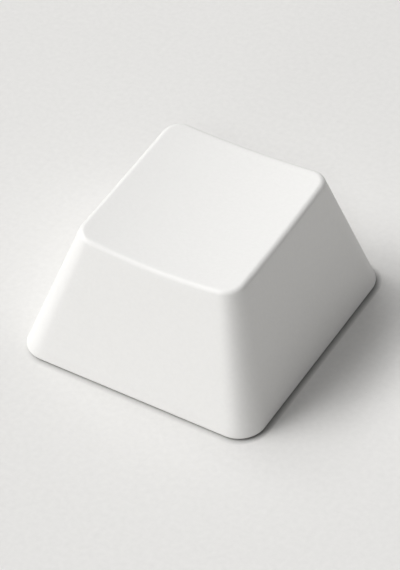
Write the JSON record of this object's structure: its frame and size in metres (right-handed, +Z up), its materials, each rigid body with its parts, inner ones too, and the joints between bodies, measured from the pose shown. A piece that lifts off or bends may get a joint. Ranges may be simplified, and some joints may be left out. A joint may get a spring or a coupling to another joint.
{
  "type": "blank keycap",
  "caption": "Blank square keycap with tapered sides, a dished top and a hollow underside, whose post presses onto a cross-shaped key switch stem.",
  "frame": {"origin": "middle of the rim's underside, on the surface that the cap stands on and on the axis of the post", "axes": "+Z up through the top face, -Y towards the typist (the more sloping front face), +X to the right"},
  "size_m": [0.0182, 0.0181, 0.0092],
  "materials": {
    "plastic": "fine matte moulded texture, warm white"
  },
  "bodies": {
    "root": {"keycap": "plastic"}
  },
  "joints": []
}
